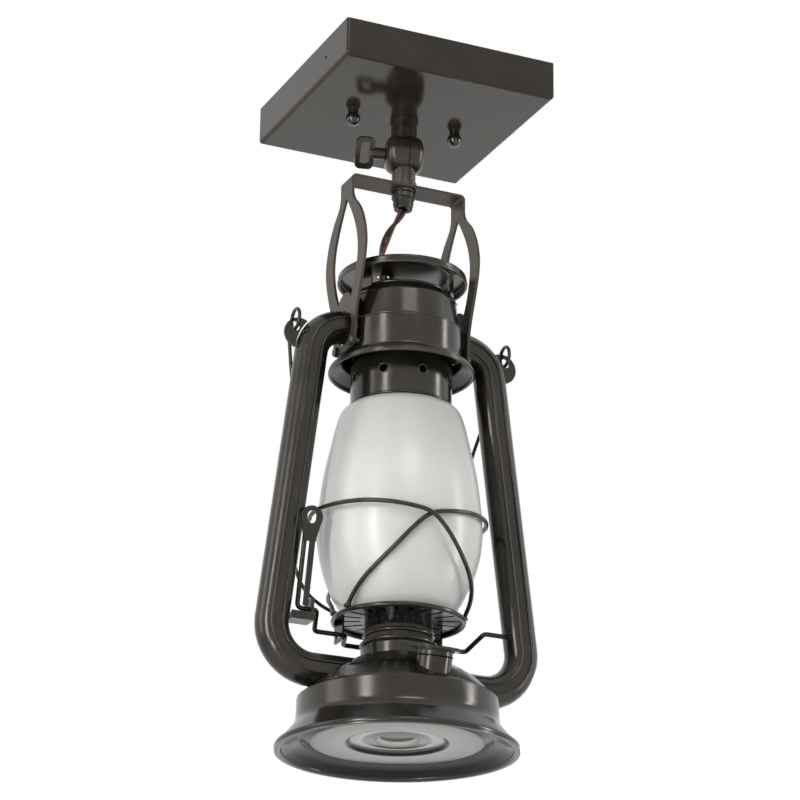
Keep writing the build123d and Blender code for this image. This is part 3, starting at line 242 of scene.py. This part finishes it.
def paintedReflectionFloor(name, look):
    mat = bpy.data.materials.new(name)
    mat.use_nodes = True
    tree = mat.node_tree
    shader = tree.nodes["Principled BSDF"]
    shader.inputs["Metallic"].default_value = look["metal"]
    shader.inputs["Specular IOR Level"].default_value = look["gloss"]
    place = addNode(tree, "ShaderNodeTexCoord", (-1200, 0))
    flat = addNode(tree, "ShaderNodeVectorMath", (-1000, 150))
    flat.operation = "MULTIPLY"
    flat.inputs[1].default_value = (1, 1, 0)
    reach = addNode(tree, "ShaderNodeVectorMath", (-800, 150))
    reach.operation = "LENGTH"
    share = rangeNode(tree, (-600, 150), (0.0, look["reach"] * mm), (0.0, 1.0))
    # Painted reflection: the base colour steps through bright and dark rings by distance from the centre
    ramp = addNode(tree, "ShaderNodeValToRGB", (-350, 150))
    stops = ramp.color_ramp.elements
    while len(stops) < len(look["rings"]):
        stops.new(1.0)
    for stop, (radius, tone) in zip(stops, look["rings"]):
        stop.position = radius / look["reach"]
        stop.color = (*[tone * part for part in look["tint"]], 1)
    clouds = addNode(tree, "ShaderNodeTexNoise", (-800, -150), Scale=look["clouds"], Detail=5.0, Roughness=0.6)
    spread = rangeNode(tree, (-350, -150), paintBase["noiseSpan"], look["rough"])
    tree.links.new(place.outputs["Object"], flat.inputs[0])
    tree.links.new(flat.outputs["Vector"], reach.inputs[0])
    tree.links.new(reach.outputs["Value"], share.inputs["Value"])
    tree.links.new(share.outputs["Result"], ramp.inputs["Fac"])
    tree.links.new(ramp.outputs["Color"], shader.inputs["Base Color"])
    tree.links.new(place.outputs["Object"], clouds.inputs["Vector"])
    tree.links.new(clouds.outputs["Fac"], spread.inputs["Value"])
    tree.links.new(spread.outputs["Result"], shader.inputs["Roughness"])
    return mat


paints = {name: paintedFinish(name, look) for name, look in finishes.items()}
paints["tankFloor"] = paintedReflectionFloor("tankFloor", tankFloor)
paints["frostedGlobe"] = frostedGlass("frostedGlobe", globeGlass)
# The bulb shares the globe's painted shade, darker towards its top
paints["softWhiteBulb"] = frostedGlass("softWhiteBulb", {**globeGlass, "light": (0.88, 0.87, 0.83)})
print("finishes ready:", len(paints))

# Which finish each CAD node wears
nodeFinish = {
    "canopyPaint": ["canopy_pan"],
    "strapPaint": ["hanger_strap"],
    "knobBlack": ["canopy_knobs"],
    "knuckleCasting": ["knuckle_collar", "knuckle_upper", "knuckle_lower", "knuckle_key", "hanger_nut"],
    "lanternEnamel": [
        "left_tube", "right_tube", "chamber_cap", "chamber_band", "crown", "crown_tabs", "left_ear", "right_ear",
        "tank_top", "tank_shell", "burner_base", "filler_neck", "filler_cap", "globe_collar",
        "globe_plate", "lever_bracket", "lever_tab", "socket_bracket",
    ],
    "tankFloor": ["tank_bottom"],
    "burnerBlack": ["burner_cone"],
    "boltDark": ["strap_bolts", "strap_nuts"],
    "wireBronze": ["bail", "lift_lever", "guard_wire_left", "guard_wire_right"],
    "zincSteel": [
        "crossbar", "ground_screw", "canopy_screws", "stem_nipple", "stem_washer", "stem_locknut", "hanger_nipple",
        "socket_nut",
    ],
    "bareAluminium": ["bulb_cap"],
    "gripPlastic": ["cord_grip"],
    "socketGlaze": ["lamp_socket"],
    "connectorPlastic": ["wire_nuts"],
    "fibre": ["knuckle_washer"],
    "gasketRubber": ["filler_gasket"],
    "leadBlack": ["supply_leads", "twin_lead"],
    "frostedGlobe": ["globe"],
    "softWhiteBulb": ["bulb_glass"],
}
for finish, members in nodeFinish.items():
    for node in members:
        nodes[node].data.materials.clear()
        nodes[node].data.materials.append(paints[finish])
print("nodes painted:", sum(len(members) for members in nodeFinish.values()))

# Twin lead from the grip down to the lamp holder
twinLead = {
    "bow": Vector((-0.91, 0.415, 0)), "gripZ": -77.3, "hubZ": -140.4,
    "route": [(0, 0), (2.2, 5.2), (7.2, 12.6), (11.0, 22.5), (12.4, 33.0), (10.6, 43.0), (3.8, 52.0)],
    "width": 4.6, "twist": 1.4, "sides": 14, "steps": 24,
    "fit": 0.98, "across": Vector((0.3, 0.9, 0.1)),  # strands just clear of each other, and how they first lie
}


def leadPoints():
    top = Vector((0, 0, twinLead["gripZ"]))
    points = [(top + twinLead["bow"] * side - Vector((0, 0, drop))) * mm for side, drop in twinLead["route"]]
    return points + [Vector((0, 0, twinLead["hubZ"])) * mm]


def smoothRoute(name, points):
    curve = bpy.data.curves.new(name, "CURVE")
    curve.dimensions = "3D"
    curve.resolution_u = twinLead["steps"]
    spline = curve.splines.new("NURBS")
    spline.points.add(len(points) - 1)
    for slotPoint, point in zip(spline.points, points):
        slotPoint.co = (*point, 1)
    spline.order_u = 3
    spline.use_endpoint_u = True
    holder = link(bpy.data.objects.new(name, curve))
    bpy.context.view_layer.update()
    mesh = bpy.data.meshes.new_from_object(holder.evaluated_get(bpy.context.evaluated_depsgraph_get()))
    line = [v.co.copy() for v in mesh.vertices]
    bpy.data.meshes.remove(mesh)
    bpy.data.objects.remove(holder)
    bpy.data.curves.remove(curve)
    return line


def strandTube(bm, line, radius, sides, material, offset, twist):
    side = line[1].cross(twinLead["across"]).normalized()
    rings = []
    for i, point in enumerate(line):
        along = (line[min(i + 1, len(line) - 1)] - line[max(i - 1, 0)]).normalized()
        side = (side - along * side.dot(along)).normalized()
        turn = Matrix.Rotation(twist * 2 * math.pi * i / (len(line) - 1), 3, along)
        middle = point + turn @ side * offset
        across = turn @ side
        up = along.cross(across)
        ring = []
        for k in range(sides):
            angle = 2 * math.pi * k / sides
            ring.append(bm.verts.new(middle + (across * math.cos(angle) + up * math.sin(angle)) * radius))
        rings.append(ring)
    for a, b in zip(rings, rings[1:]):
        for k in range(sides):
            face = bm.faces.new((a[k], a[(k + 1) % sides], b[(k + 1) % sides], b[k]))
            face.material_index = material
    for cap in (list(reversed(rings[0])), rings[-1]):
        bm.faces.new(cap).material_index = material


def buildLead():
    line = smoothRoute("leadRoute", leadPoints())
    radius = twinLead["width"] / 4 * mm
    bm = bmesh.new()
    for material, offset in enumerate((-radius, radius)):
        strandTube(bm, line, radius * twinLead["fit"], twinLead["sides"], material, offset, twinLead["twist"])
    bmesh.ops.recalc_face_normals(bm, faces=bm.faces)
    lead = meshPiece("twinLead", bm)
    lead.data.materials.append(paints["leadRed"])
    lead.data.materials.append(paints["leadBlack"])
    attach(lead, "lantern")
    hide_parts("twin_lead")


buildLead()


# Small pieces that repeat or follow a rim, made by node trees; how finely each is cut
facets = {"rim": 180, "bead": 12, "hole": 24, "lip": 8, "rib": 8, "dabSegments": 18, "dabRings": 10}


def newTree(name, inputs):
    tree = bpy.data.node_groups.new(name, "GeometryNodeTree")
    tree.interface.new_socket("Geometry", in_out="INPUT", socket_type="NodeSocketGeometry")
    for label, kind in inputs:
        tree.interface.new_socket(label, in_out="INPUT", socket_type=kind)
    tree.interface.new_socket("Geometry", in_out="OUTPUT", socket_type="NodeSocketGeometry")
    source = addNode(tree, "NodeGroupInput", (-900, 0))
    target = addNode(tree, "NodeGroupOutput", (900, 0))
    return tree, source, target


def closeTree(tree, geometry, source, target):
    realize = addNode(tree, "GeometryNodeRealizeInstances", (500, 0))
    paint = addNode(tree, "GeometryNodeSetMaterial", (700, 0))
    tree.links.new(geometry, realize.inputs["Geometry"])
    tree.links.new(realize.outputs["Geometry"], paint.inputs["Geometry"])
    tree.links.new(source.outputs["Finish"], paint.inputs["Material"])
    tree.links.new(paint.outputs["Geometry"], target.inputs["Geometry"])


def rimTree():
    sizes = [("Radius", "NodeSocketFloat"), ("Bead", "NodeSocketFloat"), ("Place", "NodeSocketVector")]
    tree, source, target = newTree("rolledRim", sizes + [("Finish", "NodeSocketMaterial")])
    path = addNode(tree, "GeometryNodeCurvePrimitiveCircle", (-600, 100), Resolution=facets["rim"])
    section = addNode(tree, "GeometryNodeCurvePrimitiveCircle", (-600, -150), Resolution=facets["bead"])
    roll = addNode(tree, "GeometryNodeCurveToMesh", (-300, 0))
    move = addNode(tree, "GeometryNodeTransform", (0, 0))
    tree.links.new(source.outputs["Radius"], path.inputs["Radius"])
    tree.links.new(source.outputs["Bead"], section.inputs["Radius"])
    tree.links.new(path.outputs["Curve"], roll.inputs["Curve"])
    tree.links.new(section.outputs["Curve"], roll.inputs["Profile Curve"])
    tree.links.new(roll.outputs["Mesh"], move.inputs["Geometry"])
    tree.links.new(source.outputs["Place"], move.inputs["Translation"])
    closeTree(tree, move.outputs["Geometry"], source, target)
    return tree


def eyeletTree():
    sizes = [("Count", "NodeSocketInt"), ("Radius", "NodeSocketFloat"), ("Hole", "NodeSocketFloat"),
             ("Bead", "NodeSocketFloat"), ("Place", "NodeSocketVector"), ("Finish", "NodeSocketMaterial")]
    tree, source, target = newTree("eyeletRow", sizes)
    row = addNode(tree, "GeometryNodeCurvePrimitiveCircle", (-700, 200))
    spots = addNode(tree, "GeometryNodeCurveToPoints", (-450, 200))
    spots.mode = "EVALUATED"
    hole = addNode(tree, "GeometryNodeCurvePrimitiveCircle", (-700, -50), Resolution=facets["hole"])
    section = addNode(tree, "GeometryNodeCurvePrimitiveCircle", (-700, -300), Resolution=facets["lip"])
    lip = addNode(tree, "GeometryNodeCurveToMesh", (-450, -100))
    where = addNode(tree, "GeometryNodeInputPosition", (-450, -300))
    face = addNode(tree, "FunctionNodeAlignRotationToVector", (-250, -300))
    face.axis = "Z"
    put = addNode(tree, "GeometryNodeInstanceOnPoints", (-50, 100))
    move = addNode(tree, "GeometryNodeTransform", (200, 0))
    tree.links.new(source.outputs["Count"], row.inputs["Resolution"])
    tree.links.new(source.outputs["Radius"], row.inputs["Radius"])
    tree.links.new(source.outputs["Hole"], hole.inputs["Radius"])
    tree.links.new(source.outputs["Bead"], section.inputs["Radius"])
    tree.links.new(row.outputs["Curve"], spots.inputs["Curve"])
    tree.links.new(hole.outputs["Curve"], lip.inputs["Curve"])
    tree.links.new(section.outputs["Curve"], lip.inputs["Profile Curve"])
    tree.links.new(where.outputs["Position"], face.inputs["Vector"])
    tree.links.new(spots.outputs["Points"], put.inputs["Points"])
    tree.links.new(lip.outputs["Mesh"], put.inputs["Instance"])
    tree.links.new(face.outputs["Rotation"], put.inputs["Rotation"])
    tree.links.new(put.outputs["Instances"], move.inputs["Geometry"])
    tree.links.new(source.outputs["Place"], move.inputs["Translation"])
    closeTree(tree, move.outputs["Geometry"], source, target)
    return tree


def knurlTree():
    sizes = [("Count", "NodeSocketInt"), ("Radius", "NodeSocketFloat"), ("Rib", "NodeSocketFloat"),
             ("Length", "NodeSocketFloat"), ("Tilt", "NodeSocketVector"), ("Place", "NodeSocketVector"),
             ("Finish", "NodeSocketMaterial")]
    tree, source, target = newTree("knurledEdge", sizes)
    row = addNode(tree, "GeometryNodeCurvePrimitiveCircle", (-700, 200))
    spots = addNode(tree, "GeometryNodeCurveToPoints", (-450, 200))
    spots.mode = "EVALUATED"
    rib = addNode(tree, "GeometryNodeMeshCylinder", (-700, -100), Vertices=facets["rib"])
    put = addNode(tree, "GeometryNodeInstanceOnPoints", (-150, 100))
    move = addNode(tree, "GeometryNodeTransform", (150, 0))
    tree.links.new(source.outputs["Count"], row.inputs["Resolution"])
    tree.links.new(source.outputs["Radius"], row.inputs["Radius"])
    tree.links.new(source.outputs["Rib"], rib.inputs["Radius"])
    tree.links.new(source.outputs["Length"], rib.inputs["Depth"])
    tree.links.new(row.outputs["Curve"], spots.inputs["Curve"])
    tree.links.new(spots.outputs["Points"], put.inputs["Points"])
    tree.links.new(rib.outputs["Mesh"], put.inputs["Instance"])
    tree.links.new(put.outputs["Instances"], move.inputs["Geometry"])
    tree.links.new(source.outputs["Tilt"], move.inputs["Rotation"])
    tree.links.new(source.outputs["Place"], move.inputs["Translation"])
    closeTree(tree, move.outputs["Geometry"], source, target)
    return tree


def dabTree():
    sizes = [("Size", "NodeSocketFloat"), ("Squash", "NodeSocketVector"), ("Finish", "NodeSocketMaterial")]
    tree, source, target = newTree("solderDabs", sizes)
    spots = addNode(tree, "GeometryNodeMeshToPoints", (-500, 150))
    ball = addNode(tree, "GeometryNodeMeshUVSphere", (-500, -100))
    ball.inputs["Segments"].default_value = facets["dabSegments"]
    ball.inputs["Rings"].default_value = facets["dabRings"]
    put = addNode(tree, "GeometryNodeInstanceOnPoints", (-150, 50))
    tree.links.new(source.outputs["Geometry"], spots.inputs["Mesh"])
    tree.links.new(source.outputs["Size"], ball.inputs["Radius"])
    tree.links.new(spots.outputs["Points"], put.inputs["Points"])
    tree.links.new(ball.outputs["Mesh"], put.inputs["Instance"])
    tree.links.new(source.outputs["Squash"], put.inputs["Scale"])
    closeTree(tree, put.outputs["Instances"], source, target)
    return tree


def grownPiece(name, tree, settings, body, spots=()):
    seed = bpy.data.meshes.new(name)
    seed.from_pydata([tuple(Vector(p) * mm) for p in spots], [], [])
    piece = link(bpy.data.objects.new(name, seed))
    grow = piece.modifiers.new("grow", "NODES")
    grow.node_group = tree
    sockets = {item.name: item.identifier for item in tree.interface.items_tree if item.in_out == "INPUT"}
    for label, value in settings.items():
        grow[sockets[label]] = value
    bpy.context.view_layer.update()
    depsgraph = bpy.context.evaluated_depsgraph_get()
    mesh = bpy.data.meshes.new_from_object(piece.evaluated_get(depsgraph))
    piece.modifiers.clear()
    piece.data = mesh
    mesh.name = name
    bpy.data.meshes.remove(seed)
    for polygon in mesh.polygons:
        polygon.use_smooth = True
    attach(piece, body)
    print("grown:", name, len(mesh.polygons), "faces")


# Rolled edges, in mm
rolledRims = {
    "crownRim": {"radius": 35.6, "z": -123.4, "bead": 0.75, "body": "lantern"},
    "brimRim": {"radius": 39.6, "z": -177.0, "bead": 0.95, "body": "lantern"},
    "chamberSeam": {"radius": 33.0, "z": -152.5, "bead": 0.5, "body": "lantern"},
    "burnerRingHigh": {"radius": 18.5, "z": -327.5, "bead": 0.9, "body": "lantern"},
    "burnerRingLow": {"radius": 20.0, "z": -332.5, "bead": 0.9, "body": "lantern"},
    "tankRim": {"radius": 63.2, "z": -388.9, "bead": 2.0, "body": "lantern", "finish": "lanternEnamel"},
    "collarTop": {"radius": 27.6, "z": -170.6, "bead": 0.55, "body": "globe_set"},
}
collarEyelets = {"count": 8, "radius": 27.95, "hole": 2.6, "bead": 0.42, "z": -183.0}
fillerKnurl = {
    "count": 84, "radius": 12.95, "rib": 0.36, "length": 1.5,
    "reach": 41.4, "azimuth": -88.0, "tilt": 15.0, "domeZ": -351.5, "rise": 7.6,
}
guardFeet = {"size": 1.75, "squash": (1.25, 1.25, 0.85), "ring": 35.0, "z": -316.5, "angles": (165.3, 23.3)}


def growDetails():
    rims = rimTree()
    for name, rim in rolledRims.items():
        look = {"Radius": rim["radius"] * mm, "Bead": rim["bead"] * mm, "Place": (0, 0, rim["z"] * mm)}
        # Rims without their own finish wear the painted highlight
        look["Finish"] = paints[rim.get("finish", "rimPaintedHighlight")]
        grownPiece(name, rims, look, rim["body"])
    eyelet = collarEyelets
    look = {"Count": eyelet["count"], "Radius": eyelet["radius"] * mm, "Hole": eyelet["hole"] * mm,
            "Bead": eyelet["bead"] * mm, "Place": (0, 0, eyelet["z"] * mm), "Finish": paints["rimPaintedHighlight"]}
    grownPiece("collarEyelets", eyeletTree(), look, "globe_set")
    knurl = fillerKnurl
    lean, around = math.radians(knurl["tilt"]), math.radians(knurl["azimuth"])
    out = knurl["reach"] + knurl["rise"] * math.sin(lean)
    place = Vector((out * math.cos(around), out * math.sin(around), knurl["domeZ"] + knurl["rise"] * math.cos(lean)))
    tilt = (Matrix.Rotation(around, 3, "Z") @ Matrix.Rotation(lean, 3, "Y")).to_euler()
    look = {"Count": knurl["count"], "Radius": knurl["radius"] * mm, "Rib": knurl["rib"] * mm,
            "Length": knurl["length"] * mm, "Tilt": tuple(tilt), "Place": tuple(place * mm),
            "Finish": paints["lanternEnamel"]}
    grownPiece("fillerKnurl", knurlTree(), look, "filler_cap")
    feet = guardFeet
    spots = []
    for angle in feet["angles"]:
        for side in (-1, 1):
            turn = math.radians(angle) * side
            spots.append((feet["ring"] * math.cos(turn), feet["ring"] * math.sin(turn), feet["z"]))
    look = {"Size": feet["size"] * mm, "Squash": feet["squash"], "Finish": paints["wireBronze"]}
    grownPiece("guardFeet", dabTree(), look, "globe_set", spots)


growDetails()

# Camera as it stood for the photograph: below the lamp and to its left, looking up
camera = {
    "place": (-0.6465, -1.418, -0.785), "heading": -24.488, "pitch": 20.842, "roll": 0.651,
    "lens": 136.497, "sensor": 36.0, "farthest": 20.0,
}


def buildCamera():
    data = bpy.data.cameras.new("camera")
    data.sensor_width = camera["sensor"]
    data.lens = camera["lens"]
    data.clip_end = camera["farthest"]
    view = link(bpy.data.objects.new("camera", data))
    turn = Matrix.Rotation(math.radians(camera["heading"]), 4, "Z")
    tilt = Matrix.Rotation(math.radians(90 + camera["pitch"]), 4, "X")
    roll = Matrix.Rotation(math.radians(camera["roll"]), 4, "Z")
    view.matrix_world = Matrix.Translation(camera["place"]) @ turn @ tilt @ roll
    scene.camera = view


buildCamera()

# Studio: pale floor far below, white surroundings, large soft lights
studio = {
    "floorZ": -1.25, "floorSize": 8.0, "floorTone": (0.82, 0.82, 0.81), "floorLift": 0.5, "floorRough": 0.9,
    "ambient": (0.33, 0.33, 0.325), "backdrop": (1.0, 1.0, 1.0),
    "lights": [
        {"name": "keyLeft", "place": (-1.75, -1.0, -0.05), "aim": (0, 0, -0.2), "size": (0.34, 1.5), "power": 19},
        {"name": "fillRight", "place": (1.8, -0.8, -0.1), "aim": (0, 0, -0.25), "size": (0.28, 1.6), "power": 15},
        {"name": "topFront", "place": (-0.2, -1.5, 0.9), "aim": (0, 0, -0.2), "size": (0.8, 0.25), "power": 4.5},
        {"name": "lowLeft", "place": (-1.5, -1.3, -1.0), "aim": (0, 0, -0.3), "size": (0.3, 0.3), "power": 6},
        {"name": "sideLeft", "place": (-1.75, 0.3, 0.1), "aim": (0, 0, -0.3), "size": (0.7, 1.2), "power": 5.5},
        {"name": "floorBack", "place": (1.7, 2.3, 0.2), "aim": (1.7, 2.3, -1.25), "size": (0.8, 0.8), "power": 15},
    ],
}


def shownRays(tree):
    ray = addNode(tree, "ShaderNodeLightPath", (-200, 250))
    seen = addNode(tree, "ShaderNodeMath", (0, 250))
    seen.operation = "MAXIMUM"
    shown = addNode(tree, "ShaderNodeMath", (120, 250))
    shown.operation = "MAXIMUM"
    tree.links.new(ray.outputs["Is Camera Ray"], seen.inputs[0])
    tree.links.new(ray.outputs["Is Glossy Ray"], seen.inputs[1])
    tree.links.new(seen.outputs["Value"], shown.inputs[0])
    tree.links.new(ray.outputs["Is Transmission Ray"], shown.inputs[1])
    return shown.outputs["Value"]


# The floor keeps its shadows and is lifted towards white where it shows
def paleFloor():
    mat = bpy.data.materials.new("paleFloor")
    mat.use_nodes = True
    tree = mat.node_tree
    shader = tree.nodes["Principled BSDF"]
    shader.inputs["Base Color"].default_value = (*studio["floorTone"], 1)
    shader.inputs["Roughness"].default_value = studio["floorRough"]
    shader.inputs["Emission Color"].default_value = (1, 1, 1, 1)
    lift = addNode(tree, "ShaderNodeMath", (-100, -250))
    lift.operation = "MULTIPLY"
    lift.inputs[1].default_value = studio["floorLift"]
    tree.links.new(shownRays(tree), lift.inputs[0])
    tree.links.new(lift.outputs["Value"], shader.inputs["Emission Strength"])
    return mat


def buildStudio():
    half = studio["floorSize"] / 2
    bm = bmesh.new()
    corners = [(-half, -half), (half, -half), (half, half), (-half, half)]
    bm.faces.new([bm.verts.new((x, y, studio["floorZ"])) for x, y in corners])
    floor = meshPiece("floor", bm)
    floor.data.materials.append(paleFloor())
    world = bpy.data.worlds.new("studio")
    scene.world = world
    world.use_nodes = True
    tree = world.node_tree
    around = tree.nodes["Background"]
    around.inputs["Color"].default_value = (*studio["ambient"], 1)
    behind = addNode(tree, "ShaderNodeBackground", (0, -150))
    behind.inputs["Color"].default_value = (*studio["backdrop"], 1)
    mix = addNode(tree, "ShaderNodeMixShader", (250, 0))
    tree.links.new(shownRays(tree), mix.inputs[0])
    tree.links.new(around.outputs["Background"], mix.inputs[1])
    tree.links.new(behind.outputs["Background"], mix.inputs[2])
    tree.links.new(mix.outputs["Shader"], tree.nodes["World Output"].inputs["Surface"])
    for lamp in studio["lights"]:
        data = bpy.data.lights.new(lamp["name"], "AREA")
        data.shape = "RECTANGLE"
        data.size, data.size_y = lamp["size"]
        data.energy = lamp["power"]
        light = link(bpy.data.objects.new(lamp["name"], data))
        light.location = lamp["place"]
        light.rotation_euler = (Vector(lamp["aim"]) - Vector(lamp["place"])).to_track_quat("-Z", "Y").to_euler()


buildStudio()
print("studio ready")
